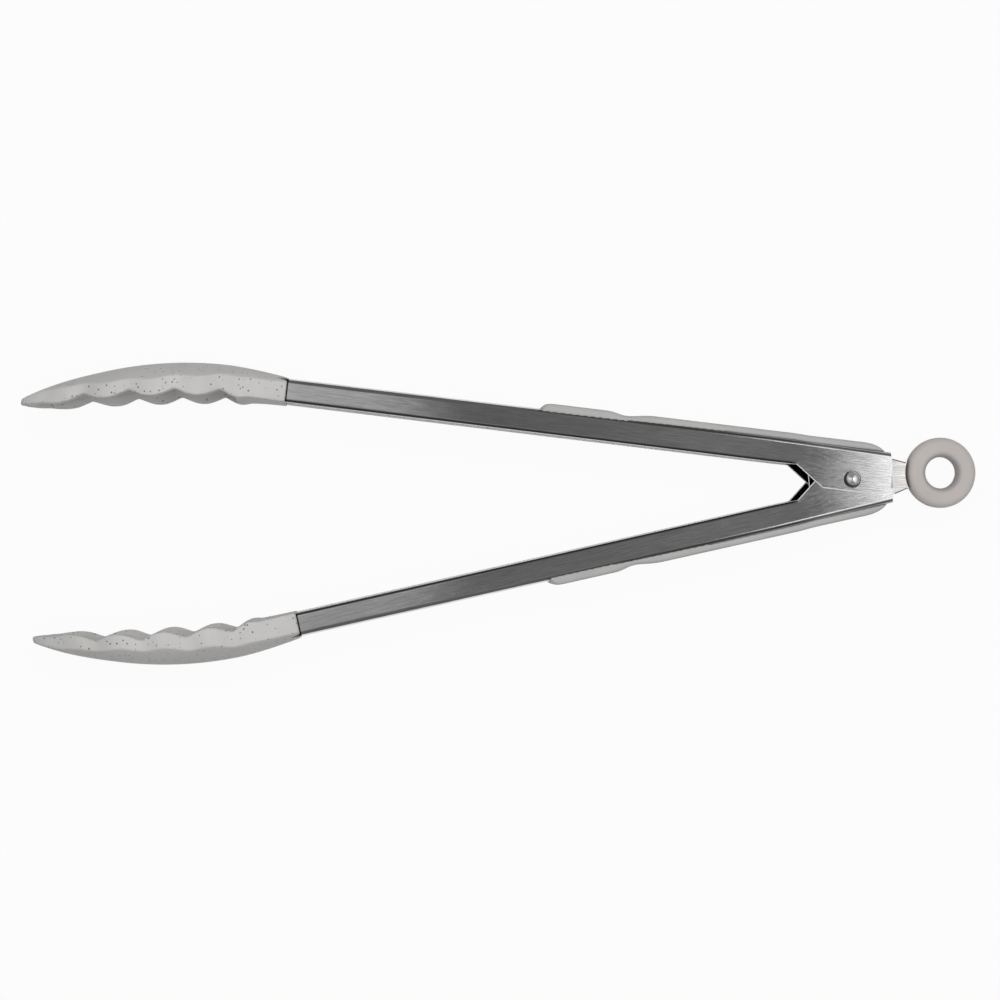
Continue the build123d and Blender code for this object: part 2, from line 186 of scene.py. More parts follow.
# ---- shared effects ------------------------------------------------------------------------
class Nodes:
    """Shorthand for adding and joining shader nodes."""

    def __init__(self, tree):
        self.tree = tree

    def add(self, kind, inputs=None, **settings):
        node = self.tree.nodes.new(kind)
        for key, value in settings.items():
            setattr(node, key, value)
        for key, value in (inputs or {}).items():
            self.feed(node.inputs[key], value)
        return node

    def feed(self, socket, value):
        if isinstance(value, bpy.types.NodeSocket):
            self.tree.links.new(value, socket)
        else:
            socket.default_value = value

    def use(self, group, **inputs):
        """Places a shared effect with its own values. Returns its outputs."""
        return self.add("ShaderNodeGroup", inputs, node_tree=group).outputs

    def maths(self, operation, first, second=0.0, clamp=False):
        values = {0: first, 1: second}
        return self.add("ShaderNodeMath", values, operation=operation, use_clamp=clamp).outputs[0]

    def vector(self, operation, first, second=(0, 0, 0)):
        values = {0: first, 1: second}
        return self.add("ShaderNodeVectorMath", values, operation=operation).outputs[0]

    def measure(self, operation, first, second=(0, 0, 0)):
        values = {0: first, 1: second}
        return self.add("ShaderNodeVectorMath", values, operation=operation).outputs["Value"]

    def split(self, vector):
        return self.add("ShaderNodeSeparateXYZ", {"Vector": vector}).outputs

    def join(self, x, y, z):
        return self.add("ShaderNodeCombineXYZ", {"X": x, "Y": y, "Z": z}).outputs[0]

    def mix(self, factor, first, second):
        values = {"Factor": factor, 6: first, 7: second}
        return self.add("ShaderNodeMix", values, data_type="RGBA").outputs[2]

    def fit(self, value, low, high, to_low, to_high, smooth=False):
        values = {
            "Value": value, "From Min": low, "From Max": high, "To Min": to_low, "To Max": to_high
        }
        kind = "SMOOTHSTEP" if smooth else "LINEAR"
        return self.add("ShaderNodeMapRange", values, interpolation_type=kind).outputs[0]

    def noise(self, place, scale, detail=2.0, roughness=0.5):
        values = {"Vector": place, "Scale": scale, "Detail": detail, "Roughness": roughness}
        return self.add("ShaderNodeTexNoise", values).outputs["Fac"]

    def turn_to(self, space, vector, kind):
        """Turns a direction or a normal from the other space to the world's or the object's."""
        start = "OBJECT" if space == "WORLD" else "WORLD"
        return self.add(
            "ShaderNodeVectorTransform", {"Vector": vector},
            vector_type=kind, convert_from=start, convert_to=space,
        ).outputs[0]

    def bump(self, shader, height, strength, distance, normal=None):
        """Fine relief on a shader's Normal."""
        values = {"Height": height, "Strength": strength, "Distance": distance}
        if normal is not None:
            values["Normal"] = normal
        self.feed(shader.inputs["Normal"], self.add("ShaderNodeBump", values).outputs[0])


def effect(name, inputs, outputs):
    """Empty node group with named sockets. Returns its nodes, its inputs and its outputs."""
    group = bpy.data.node_groups.new(name, "ShaderNodeTree")
    for socket, (kind, default) in inputs.items():
        kind = f"NodeSocket{kind}"
        made = group.interface.new_socket(socket, in_out="INPUT", socket_type=kind)
        if default is not None:
            made.default_value = default
    for socket in outputs:
        group.interface.new_socket(socket, in_out="OUTPUT", socket_type="NodeSocketFloat")
    nodes = Nodes(group)
    return nodes, nodes.add("NodeGroupInput").outputs, nodes.add("NodeGroupOutput").inputs


def brush_lines():
    """Fine lines left by brushing, along the x direction of Place."""
    if "brush lines" in bpy.data.node_groups:
        return bpy.data.node_groups["brush lines"]
    sockets = {"Place": ("Vector", None), "Along": ("Float", 45.0), "Across": ("Float", 3200.0)}
    nodes, given, result = effect("brush lines", sockets, ("Lines", "Clouds", "Height"))
    steps = nodes.join(given["Along"], given["Across"], given["Across"])
    stretched = nodes.vector("MULTIPLY", given["Place"], steps)
    fine = nodes.maths("MULTIPLY", nodes.noise(stretched, 1.0, 3.0, 0.6), 0.8)
    wider = nodes.vector("MULTIPLY", stretched, (0.35, 0.22, 0.22))
    broad = nodes.maths("MULTIPLY", nodes.noise(wider, 1.0), 0.2)
    both = nodes.maths("ADD", fine, broad)
    clouds = nodes.noise(given["Place"], 55.0)
    nodes.feed(result["Lines"], nodes.fit(both, 0.33, 0.67, 0.0, 1.0))
    nodes.feed(result["Clouds"], nodes.fit(clouds, 0.3, 0.7, 0.0, 1.0))
    nodes.feed(result["Height"], both)
    return nodes.tree


def specks():
    """Sparse round specks of uneven size, gathered in loose groups."""
    if "specks" in bpy.data.node_groups:
        return bpy.data.node_groups["specks"]
    sockets = {"Place": ("Vector", None), "Spacing": ("Float", 0.003), "Radius": ("Float", 0.0003)}
    nodes, given, result = effect("specks", sockets, ("Specks",))
    scale = nodes.maths("DIVIDE", 1.0, given["Spacing"])
    cells = nodes.add(
        "ShaderNodeTexVoronoi", {"Vector": given["Place"], "Scale": scale, "Randomness": 1.0}
    ).outputs
    chance = nodes.add("ShaderNodeSeparateColor", {"Color": cells["Color"]}).outputs
    gathered = nodes.fit(nodes.noise(given["Place"], 95.0, 1.0), 0.34, 0.58, 0.22, 1.0)
    wanted = nodes.maths("LESS_THAN", chance["Red"], gathered)
    radius = nodes.maths("MULTIPLY", given["Radius"], scale)
    radius = nodes.maths("MULTIPLY", radius, nodes.fit(chance["Green"], 0.0, 1.0, 0.45, 1.25))
    reach = nodes.maths("DIVIDE", cells["Distance"], radius)
    disc = nodes.fit(reach, 0.75, 1.1, 1.0, 0.0, smooth=True)
    nodes.feed(result["Specks"], nodes.maths("MULTIPLY", disc, wanted))
    return nodes.tree


def soft_skin():
    """Moulded silicone: slow clouds, and the fine dull texture of its surface."""
    if "soft skin" in bpy.data.node_groups:
        return bpy.data.node_groups["soft skin"]
    sockets = {"Place": ("Vector", None), "Fineness": ("Float", 2600.0)}
    nodes, given, result = effect("soft skin", sockets, ("Clouds", "Grain", "Height"))
    clouds = nodes.noise(given["Place"], 70.0, 3.0, 0.55)
    grain = nodes.noise(given["Place"], given["Fineness"], 3.0, 0.6)
    dimples = nodes.maths("MULTIPLY", nodes.noise(given["Place"], 420.0, 1.0), 1.5)
    nodes.feed(result["Clouds"], nodes.fit(clouds, 0.3, 0.7, 0.0, 1.0))
    nodes.feed(result["Grain"], nodes.fit(grain, 0.3, 0.7, 0.0, 1.0))
    nodes.feed(result["Height"], nodes.maths("ADD", grain, dimples))
    return nodes.tree


def edge_distance():
    """Distance from Place to the straight edge between Start and End, seen along the pin."""
    if "edge distance" in bpy.data.node_groups:
        return bpy.data.node_groups["edge distance"]
    sockets = {"Place": ("Vector", None), "Start": ("Vector", None), "End": ("Vector", None)}
    nodes, given, result = effect("edge distance", sockets, ("Distance",))
    flat = nodes.vector("MULTIPLY", given["Place"], (1, 1, 0))
    from_start = nodes.vector("SUBTRACT", flat, given["Start"])
    edge = nodes.vector("SUBTRACT", given["End"], given["Start"])
    reach = nodes.measure("DOT_PRODUCT", from_start, edge)
    whole = nodes.measure("DOT_PRODUCT", edge, edge)
    part = nodes.maths("DIVIDE", reach, whole, clamp=True)
    nearest = nodes.add(
        "ShaderNodeVectorMath", {0: edge, "Scale": part}, operation="SCALE"
    ).outputs[0]
    nodes.feed(result["Distance"], nodes.measure("DISTANCE", from_start, nearest))
    return nodes.tree


# ---- materials -----------------------------------------------------------------------------
def new_material(name):
    """Material with a bare Principled shader. Returns the material, its nodes and the shader."""
    material = bpy.data.materials.new(name)
    material.use_nodes = True
    nodes = Nodes(material.node_tree)
    return material, nodes, material.node_tree.nodes["Principled BSDF"]


def darken(material, mask, shade):
    """Mixes a shade into the colour that a material already has, as far as mask(nodes) says."""
    nodes = Nodes(material.node_tree)
    socket = nodes.tree.nodes["Principled BSDF"].inputs["Base Color"]
    tone = socket.links[0].from_socket
    nodes.feed(socket, nodes.mix(mask(nodes), tone, shade))


def object_place(nodes):
    return nodes.add("ShaderNodeTexCoord").outputs["Object"]


def place(nodes, turn=0.0):
    """Object coordinates, turned about the upright axis so that x runs along the piece."""
    values = {"Vector": object_place(nodes), "Rotation": (0, 0, turn)}
    return nodes.add("ShaderNodeMapping", values).outputs[0]


def jaw_place(nodes):
    """Jaw coordinates, as they are before the channel is drawn deeper."""
    return nodes.add("ShaderNodeAttribute", attribute_name="arm_place").outputs["Vector"]


def ear_edge_highlights(nodes, spot, width):
    """Mask of the painted highlights: 1 along the cut edges of the ears and the rear end of the
    arm, and 0 elsewhere.
    """
    outline = ((EAR_HEEL, EAR_DROP, 0), (EAR_NOSE, EAR_DROP, 0), (EAR_FRONT, EDGE_REAR, 0))
    heel_middle, heel_radius = (-6.6 * MM, 11.96 * MM, 0), 16 * MM
    nearest = None
    for start, end in zip(outline, outline[1:]):
        line = nodes.use(edge_distance(), Place=spot, Start=start, End=end)["Distance"]
        nearest = line if nearest is None else nodes.maths("MINIMUM", nearest, line)
    flat = nodes.vector("MULTIPLY", spot, (1, 1, 0))
    from_middle = nodes.measure("DISTANCE", flat, heel_middle)
    heel = nodes.maths("ABSOLUTE", nodes.maths("SUBTRACT", from_middle, heel_radius))
    past_heel = nodes.maths("GREATER_THAN", nodes.split(spot)["X"], EAR_HEEL)
    nearest = nodes.maths("MINIMUM", nearest, nodes.maths("ADD", heel, past_heel))
    tongs_x = nodes.split(object_place(nodes))["X"]
    rear = nodes.maths("SUBTRACT", tongs_x, hinge_place.x + REAR_REACH)
    nearest = nodes.maths("MINIMUM", nearest, nodes.maths("ABSOLUTE", rear))
    return nodes.fit(nearest, 0.45 * width, 1.1 * width, 1.0, 0.0, smooth=True)


def wall_depth(nodes, axes):
    """How far a place is from the outside of the nearer wall, towards the channel's middle."""
    half = nodes.fit(axes["X"], FLARE_START, ARM_END, HINGE_HALF, FRONT_HALF)
    return nodes.maths("SUBTRACT", half, nodes.maths("ABSOLUTE", axes["Z"]))


def channel_shade_mask(nodes, spot):
    """Mask of the painted shade: 1 on the faces inside the channel and between the ears, and 0 on
    its outside.
    """
    axes = nodes.split(spot)
    past_wall = nodes.fit(wall_depth(nodes, axes), 0.5 * MM, 0.75 * MM, 0.0, 1.0)
    under_web = nodes.fit(axes["Y"], WEB - 0.5 * MM, WEB - 0.75 * MM, 0.0, 1.0)
    above_lips = nodes.fit(axes["Y"], 3.6 * MM, 4.0 * MM, 0.0, 1.0)
    at_ears = nodes.fit(axes["X"], EAR_FRONT + 0.6 * MM, EAR_FRONT + 0.1 * MM, 0.0, 1.0)
    beyond = nodes.maths("MAXIMUM", above_lips, at_ears)
    return nodes.maths("MULTIPLY", nodes.maths("MULTIPLY", past_wall, under_web), beyond)


def lips(nodes, spot):
    """Two masks: painted shade along the channel's mouth where the lip bends in, and painted
    highlights on the cut ends of the lips.
    """
    axes = nodes.split(spot)
    edge = nodes.fit(axes["X"], EAR_FRONT, ARM_END, EDGE_REAR, EDGE_FRONT)
    height = nodes.maths("SUBTRACT", axes["Y"], edge)
    past_ears = nodes.fit(axes["X"], EAR_FRONT + 0.1 * MM, EAR_FRONT + 1.6 * MM, 0.0, 1.0)
    # Painted shade: a dark line along the mouth, within about 0.8 mm of the free edge.
    lip_bend_shade = nodes.fit(height, 0.55 * MM, 0.8 * MM, 1.0, 0.0)
    # Painted highlights on the cut ends of the lips.
    from_end = nodes.maths("SUBTRACT", wall_depth(nodes, axes), LIP_WIDTH)
    ends = nodes.fit(nodes.maths("ABSOLUTE", from_end), 0.1 * MM, 0.2 * MM, 1.0, 0.0)
    ends = nodes.maths("MULTIPLY", ends, past_ears)
    ends = nodes.maths("MULTIPLY", ends, nodes.fit(height, 0.9 * MM, 1.0 * MM, 1.0, 0.0))
    return nodes.maths("MULTIPLY", lip_bend_shade, past_ears), ends


def grip_edge_shade(nodes, spot):
    """Painted shade: a dark line on the steel along the edge of the grip, where the grip shades it.
    """
    axes = nodes.split(spot)
    beside = nodes.fit(axes["X"], GRIP_NOSE, GRIP_NOSE + 1.5 * MM, 1.0, 0.0)
    line = nodes.fit(axes["X"], 14 * MM, 22 * MM, 10.1 * MM, 9.4 * MM)
    above = nodes.maths("SUBTRACT", axes["Y"], line)
    return nodes.maths("MULTIPLY", nodes.fit(above, 0.0, 0.15 * MM, 0.0, 0.6), beside)


def level_faces(nodes):
    """Normal without the slight flare of the walls, so that ears and arm reflect as one sheet."""
    nearly_level, level_from = 0.9985, 0.9995
    normal = nodes.add("ShaderNodeNewGeometry").outputs["Normal"]
    own = nodes.turn_to("OBJECT", normal, "NORMAL")
    up = nodes.split(own)["Z"]
    level = nodes.join(0.0, 0.0, nodes.maths("SIGN", up))
    flat = nodes.fit(nodes.maths("ABSOLUTE", up), nearly_level, level_from, 0.0, 1.0)
    both = nodes.add("ShaderNodeMix", {"Factor": flat, 4: own, 5: level}, data_type="VECTOR")
    return nodes.vector("NORMALIZE", nodes.turn_to("WORLD", both.outputs[1], "NORMAL"))


def brush(nodes, shader, steel, turn):
    """Stretches a shader's reflections across its brush lines."""
    grain = nodes.join(cos(turn), -sin(turn), 0.0)
    shader.inputs["Anisotropic"].default_value = steel.stretch
    shader.inputs["Anisotropic Rotation"].default_value = 0.25
    nodes.feed(shader.inputs["Tangent"], nodes.turn_to("WORLD", grain, "VECTOR"))


def arm_steel(name, side, steel):
    """Steel brushed along an arm, with painted shade inside the channel and along the collar, the
    lips' bend and the grip's edge, and painted highlights along the cut edges.
    """
    material, nodes, shader = new_material(name)
    spot = jaw_place(nodes)
    lines = nodes.use(
        brush_lines(), Place=spot, Along=steel.grain_along, Across=steel.grain_across
    )
    lip_bend_shade, lip_end_highlights = lips(nodes, spot)
    # Painted highlights along the cut edges of the ears, the rear end and the lips' ends; there the
    # steel is also less metallic and rougher, so that the lines show white.
    edges = nodes.maths("MAXIMUM", ear_edge_highlights(nodes, spot, steel.edge_width), lip_end_highlights)
    # Painted shade: a dark band on the steel just short of the head's collar, where the gap beside
    # the collar lies in shadow.
    by_collar = nodes.fit(
        nodes.split(spot)["X"], COLLAR - 0.55 * MM, COLLAR - 0.35 * MM, 0.0, 1.0
    )
    shade = nodes.maths("MAXIMUM", by_collar, nodes.maths("MULTIPLY", lip_bend_shade, 0.8))
    # Painted shade along the edge of the grip.
    shade = nodes.maths("MAXIMUM", shade, grip_edge_shade(nodes, spot))
    tone = nodes.mix(lines["Lines"], (*steel.dark, 1), (*steel.light, 1))
    # Painted shade inside the channel and between the ears.
    tone = nodes.mix(channel_shade_mask(nodes, spot), tone, (*steel.inside, 1))
    # Painted shade of the collar gap, the lips' bend and the grip's edge.
    tone = nodes.mix(shade, tone, GAP_SHADE)
    tone = nodes.mix(edges, tone, (*steel.edge, 1))
    nodes.feed(shader.inputs["Base Color"], tone)
    rough = nodes.fit(lines["Clouds"], 0, 1, steel.roughness - 0.015, steel.roughness + 0.02)
    rough = nodes.maths("ADD", rough, nodes.fit(lines["Lines"], 0, 1, 0.012, -0.012))
    rough = nodes.maths("ADD", rough, nodes.maths("MULTIPLY", edges, 0.35), clamp=True)
    nodes.feed(shader.inputs["Roughness"], rough)
    metal = nodes.maths("SUBTRACT", 1.0, nodes.maths("MULTIPLY", edges, 0.85))
    nodes.feed(shader.inputs["Metallic"], metal)
    brush(nodes, shader, steel, side * OPEN_ANGLE)
    nodes.bump(shader, lines["Height"], 0.2, 0.05 * MM, level_faces(nodes))
    return material


def plate_steel(name, turn, steel):
    """Lock plate's steel, brushed along the plate."""
    material, nodes, shader = new_material(name)
    lines = nodes.use(brush_lines(), Place=place(nodes, turn), Along=60, Across=2600)
    tone = nodes.mix(lines["Lines"], (*steel.plate_dark, 1), (*steel.plate_light, 1))
    nodes.feed(shader.inputs["Base Color"], tone)
    rough = nodes.fit(lines["Clouds"], 0, 1, 0.17, 0.24)
    rough = nodes.maths("ADD", rough, nodes.fit(lines["Lines"], 0, 1, 0.04, -0.04))
    nodes.feed(shader.inputs["Roughness"], rough)
    shader.inputs["Metallic"].default_value = 1.0
    brush(nodes, shader, steel, turn)
    nodes.bump(shader, lines["Height"], 0.25, 0.06 * MM)
    return material


def spring_wire(steel):
    """Drawn spring wire with fine scratches along it."""
    material, nodes, shader = new_material("spring_steel")
    lines = nodes.use(brush_lines(), Place=place(nodes), Along=500, Across=2500)
    tone = nodes.mix(lines["Lines"], (*steel.spring, 1), (0.90, 0.89, 0.87, 1))
    nodes.feed(shader.inputs["Base Color"], tone)
    nodes.feed(shader.inputs["Roughness"], nodes.fit(lines["Lines"], 0, 1, 0.22, 0.4))
    shader.inputs["Metallic"].default_value = 1.0
    nodes.bump(shader, lines["Height"], 0.2, 0.05 * MM)
    return material


def silicone(name, base, shade, roughness, speck=None):
    """Matt moulded silicone, with or without specks."""
    material, nodes, shader = new_material(name)
    spot = place(nodes)
    skin = nodes.use(soft_skin(), Place=spot)
    tone = nodes.mix(skin["Clouds"], (*base, 1), (*shade, 1))
    if speck:
        dots = nodes.use(
            specks(), Place=spot, Spacing=speck.speck_spacing, Radius=speck.speck_size
        )["Specks"]
        tone = nodes.mix(nodes.maths("MULTIPLY", dots, 0.85), tone, (*speck.speck, 1))
    nodes.feed(shader.inputs["Base Color"], tone)
    rough = nodes.fit(skin["Grain"], 0, 1, roughness - 0.06, roughness + 0.06)
    nodes.feed(shader.inputs["Roughness"], rough)
    shader.inputs["Specular IOR Level"].default_value = 0.35
    nodes.bump(shader, skin["Height"], 0.25, 0.08 * MM)
    return material


# ---- helpers for pieces --------------------------------------------------------------------
def add_object(name, data):
    made = bpy.data.objects.new(name, data)
    bpy.context.scene.collection.objects.link(made)
    return made


def dress(node, material):
    """Gives a frame node its material, and leaves its shape alone."""
    for slot in frame["nodes"][node].material_slots:
        slot.link = "OBJECT"
        slot.material = material


def merged_copy(node):
    """Bmesh of a frame node, whose faces share their corners."""
    shape = bmesh.new()
    shape.from_mesh(frame["nodes"][node].data)
    bmesh.ops.remove_doubles(shape, verts=shape.verts, dist=MELTED)
    return shape


def new_piece(name, shape, material):
    """Object from a bmesh whose place is already in its vertices."""
    mesh = bpy.data.meshes.new(name)
    shape.to_mesh(mesh)
    shape.free()
    mesh.materials.clear()
    mesh.materials.append(material)
    mesh.polygons.foreach_set("use_smooth", [True] * len(mesh.polygons))
    piece = add_object(name, mesh)
    return piece


def finished(piece):
    """Applies every modifier, so that the mesh is final."""
    graph = bpy.context.evaluated_depsgraph_get()
    mesh = bpy.data.meshes.new_from_object(piece.evaluated_get(graph))
    piece.modifiers.clear()
    piece.data = mesh
    return piece


def soft_copy(name, node, material, step, rounds):
    """Copy of a frame node with its edges melted round, as moulded silicone has them."""
    piece = new_piece(name, merged_copy(node), material)
    skin = piece.modifiers.new("even skin", "REMESH")
    skin.mode = "VOXEL"
    skin.voxel_size = step
    skin.use_smooth_shade = True
    melt = piece.modifiers.new("melted edges", "SMOOTH")
    melt.factor = 0.5
    melt.iterations = rounds
    return finished(piece)


def reshape(piece, side, change):
    """Moves a piece's vertices by change(spot), which takes and returns jaw coordinates."""
    to_frame = jaw_frame(side)
    to_jaw = to_frame.inverted()
    for vertex in piece.data.vertices:
        vertex.co = to_frame @ change(to_jaw @ vertex.co)


def ramp(low, high, value):
    """Straight rise from 0 at low to 1 at high."""
    return min(1.0, max(0.0, (value - low) / (high - low)))


def smooth_step(low, high, value):
    """Soft rise from 0 at low to 1 at high."""
    t = ramp(low, high, value)
    return t * t * (3 - 2 * t)


# ---- the pieces ----------------------------------------------------------------------------
class TONGS_OT_arms(bpy.types.Operator):
    """Brushed steel arms, with their channels drawn to their full depth"""
    bl_idname = "tongs.arms"
    bl_label = "Steel arms"

    crease = radians(32)

    def draw_deeper(self, spot, web_out, lips_in):
        """Place of a point once the web stands further out and the lips further in."""
        along, out, across = spot
        web = ramp(4.4 * MM, 9.4 * MM, out)
        past_ears = smooth_step(14 * MM, 22 * MM, along)
        return Vector((along, out + past_ears * (web_out * web - lips_in * (1 - web)), across))

    def execute(self, context):
        steel = context.scene.tongs.steel
        depths = steel.web_out, steel.lips_in
        for jaw, side in JAWS.items():
            shape = merged_copy(f"{jaw}_arm")
            to_frame = jaw_frame(side)
            to_jaw = to_frame.inverted()
            arm_place = shape.verts.layers.float_vector.new("arm_place")
            for vertex in shape.verts:
                vertex[arm_place] = to_jaw @ vertex.co
                vertex.co = to_frame @ self.draw_deeper(vertex[arm_place], *depths)
            material = arm_steel(f"{jaw}_arm_steel", side, steel)
            arm = new_piece(f"{jaw}_steel_arm", shape, material)
            arm.data.set_sharp_from_angle(angle=self.crease)
            even = arm.modifiers.new("flat faces stay flat", "WEIGHTED_NORMAL")
            even.keep_sharp = True
            even.weight = 100
            finished(arm)
            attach(arm, f"{jaw}_jaw")
            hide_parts(f"{jaw}_arm")
        return {"FINISHED"}


class TONGS_OT_heads(bpy.types.Operator):
    """Silicone heads with soft waves along their sides, and the hard cores inside"""
    bl_idname = "tongs.heads"
    bl_label = "Silicone heads"

    first_notch = 213.3 * MM
    notch_pitch = 14.77 * MM
    crown_radius = 34.7 * MM
    back_radius = 122.7 * MM
    back_middle = 212 * MM
    back_height = 13.95 * MM
    rear, rear_half = 191.5 * MM, 12.2 * MM
    widest, widest_half = 236 * MM, 20 * MM
    tip, tip_half = 278.3 * MM, 4.6 * MM

    def half_width(self, along):
        """Half the head's width, from the collar past the widest place to the tip."""
        if along < self.widest:
            swell = sin(0.5 * pi * smooth_step(self.rear, self.widest, along))
            return self.rear_half + (self.widest_half - self.rear_half) * swell
        taper = ((along - self.widest) / (self.tip - self.widest)) ** 2
        return self.widest_half - (self.widest_half - self.tip_half) * taper

    def crown(self, across):
        """Height of the back's round section, which is kept short of its steepest part."""
        return sqrt(self.crown_radius ** 2 - min(abs(across), 33.9 * MM) ** 2)

    def back(self, along):
        """How far out the middle of the back is."""
        bow = sqrt(self.back_radius ** 2 - (along - self.back_middle) ** 2)
        return bow - self.back_radius + self.back_height

    def far_edge(self, along, out, across, depth):
        """How far the edge on the lower side reaches further in."""
        edge = 3.2 * MM - 2.1 * max(0.0, along - 208 * MM) ** 2
        near_edge = 1 - smooth_step(1 * MM, 7.5 * MM, out - edge)
        lower_side = smooth_step(-2 * MM, -8 * MM, across)
        return depth * near_edge * lower_side * smooth_step(198 * MM, 212 * MM, along)

    def wave(self, spot, depth, further_in):
        """Draws a side in at the notches and lets the soft ridge climb there."""
        along, out, across = spot
        notch = (0.5 + 0.5 * cos(2 * pi * (along - self.first_notch) / self.notch_pitch)) ** 1.3
        past_collar = smooth_step(203 * MM, 211 * MM, along)
        waved = past_collar * (1 - smooth_step(262 * MM, 276 * MM, along))
        side = smooth_step(0.45, 0.93, abs(across) / max(4 * MM, self.half_width(along)))
        pull = depth * notch * waved * side
        moved = across - pull * (1 if across > 0 else -1)
        climb = self.crown(moved) - self.crown(across)
        inner = -8.5 * MM + 0.4 * max(0.0, 275 * MM - along)
        outer = smooth_step(inner, self.back(along) - 0.4 * MM, out)
        fill = 0.7 * MM * smooth_step(252 * MM, 276 * MM, along) * outer
        by_collar = 1 - smooth_step(198 * MM, 214 * MM, along)
        collar = 0.3 * MM * smooth_step(6 * MM, 10 * MM, out) * by_collar
        drop = self.far_edge(along, out, across, further_in)
        return Vector((along, out + climb * side + fill - collar - drop, moved))

    def execute(self, context):
        soft = context.scene.tongs.silicone
        material = silicone("head_silicone", soft.head, soft.head_shade, 0.55, soft)
        depth = soft.wave_depth
        for jaw, side in JAWS.items():
            head = soft_copy(
                f"{jaw}_soft_head", f"{jaw}_head", material, soft.skin, 6
            )
            further_in = {"upper": soft.upper_edge, "lower": soft.lower_edge}[jaw]
            reshape(head, side, lambda spot: self.wave(spot, depth, further_in))
            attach(head, f"{jaw}_jaw")
            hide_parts(f"{jaw}_head")
        core = silicone("core_plastic", (0.11, 0.11, 0.11), (0.08, 0.08, 0.08), 0.45)
        for jaw in JAWS:
            dress(f"{jaw}_head_core", core)
        return {"FINISHED"}


class TONGS_OT_grips(bpy.types.Operator):
    """Soft grips on the backs of the arms, wrapped over the channels' bends"""
    bl_idname = "tongs.grips"
    bl_label = "Grips"

    half_width = 7.56 * MM
    height = 2.5 * MM
    past_wall = 0.32 * MM

    def wrap(self, spot, web_out, grip_out):
        """Widens the grip to the channel, seats it, and lets its sides reach over the bends."""
        along, out, across = spot
        flare = max(0.0, along - FLARE_START) / (ARM_END - FLARE_START)
        wall = HINGE_HALF + flare * (FRONT_HALF - HINGE_HALF)
        side = smooth_step(5.0 * MM, 7.3 * MM, abs(across))
        wide = abs(across) + side * (wall + self.past_wall - self.half_width)
        top = ramp(WEB, WEB + self.height, out)
        over = smooth_step(wall - 0.8 * MM, wall - 0.1 * MM, wide)
        past_ears = smooth_step(14 * MM, 22 * MM, along)
        seat = 0.5 * web_out * past_ears
        below = seat - over * (0.35 * MM + seat)
        lift = below + (grip_out * past_ears - below) * top
        return Vector((along, out + lift, wide if across > 0 else -wide))

    def execute(self, context):
        soft = context.scene.tongs.silicone
        web_out, grip_out = context.scene.tongs.steel.web_out, soft.grip_out
        shade = tuple(0.9 * part for part in soft.grip)
        material = silicone("grip_silicone", soft.grip, shade, 0.5)
        for jaw, side in JAWS.items():
            grip = soft_copy(
                f"{jaw}_soft_grip", f"{jaw}_grip", material, soft.skin, 5
            )
            reshape(grip, side, lambda spot: self.wrap(spot, web_out, grip_out))
            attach(grip, f"{jaw}_jaw")
            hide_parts(f"{jaw}_grip")
        return {"FINISHED"}


class TONGS_OT_pin(bpy.types.Operator):
    """Polished rivet with faint turning marks"""
    bl_idname = "tongs.pin"
    bl_label = "Hinge pin"

    def execute(self, context):
        steel = context.scene.tongs.steel
        material, nodes, shader = new_material("pin_steel")
        spot = place(nodes)
        marks = nodes.use(brush_lines(), Place=spot, Along=700, Across=900)
        tone = nodes.mix(marks["Lines"], (*steel.pin, 1), (0.97, 0.96, 0.95, 1))
        # Painted shade: a dark crescent round the dome's left and lower side, centred a little off
        # the pin, in place of the dark reflection there.
        flat = nodes.vector("MULTIPLY", spot, (1, 1, 0))
        middle = (hinge_place.x + 0.30 * MM, hinge_place.y + 0.35 * MM, 0)
        away = nodes.measure("DISTANCE", flat, middle)
        away = nodes.maths("ADD", away, nodes.fit(marks["Clouds"], 0, 1, -0.15 * MM, 0.15 * MM))
        crescent_shade = nodes.fit(away, 2.15 * MM, 2.55 * MM, 0.0, 0.9, smooth=True)
        nodes.feed(shader.inputs["Base Color"], nodes.mix(crescent_shade, tone, (0.05, 0.048, 0.047, 1)))
        nodes.feed(shader.inputs["Roughness"], nodes.fit(marks["Lines"], 0, 1, 0.09, 0.18))
        shader.inputs["Metallic"].default_value = 0.85
        nodes.bump(shader, marks["Height"], 0.15, 0.1 * MM)
        dress("hinge_pin", material)
        return {"FINISHED"}


class TONGS_OT_lock_plate(bpy.types.Operator):
    """Brushed lock plate, with painted shade along its sides"""
    bl_idname = "tongs.lock_plate"
    bl_label = "Lock plate"

    swing = radians(1.5)
    shoulder = (16.3 * MM, 6.0 * MM, 0)
    throat = (20.3 * MM, 4.6 * MM, 0)

    def rim(self, nodes):
        """Mask of the painted shade: 1 along both sides of the plate where it leaves the ears, and
        0 elsewhere.
        """
        from_pin = nodes.vector("SUBTRACT", place(nodes), hinge_place)
        values = {"Vector": from_pin, "Rotation": (0, 0, -self.swing)}
        spot = nodes.vector("ABSOLUTE", nodes.add("ShaderNodeMapping", values).outputs[0])
        line = nodes.use(edge_distance(), Place=spot, Start=self.shoulder, End=self.throat)
        return nodes.fit(line["Distance"], 0.28 * MM, 0.50 * MM, 0.85, 0.0, smooth=True)

    def execute(self, context):
        steel = context.scene.tongs.steel
        material = plate_steel("lock_plate_steel", -self.swing, steel)
        # Painted shade: a dark line along both sides of the plate where it leaves the ears.
        darken(material, self.rim, (0.05, 0.05, 0.05, 1))
        dress("lock_plate", material)
        return {"FINISHED"}


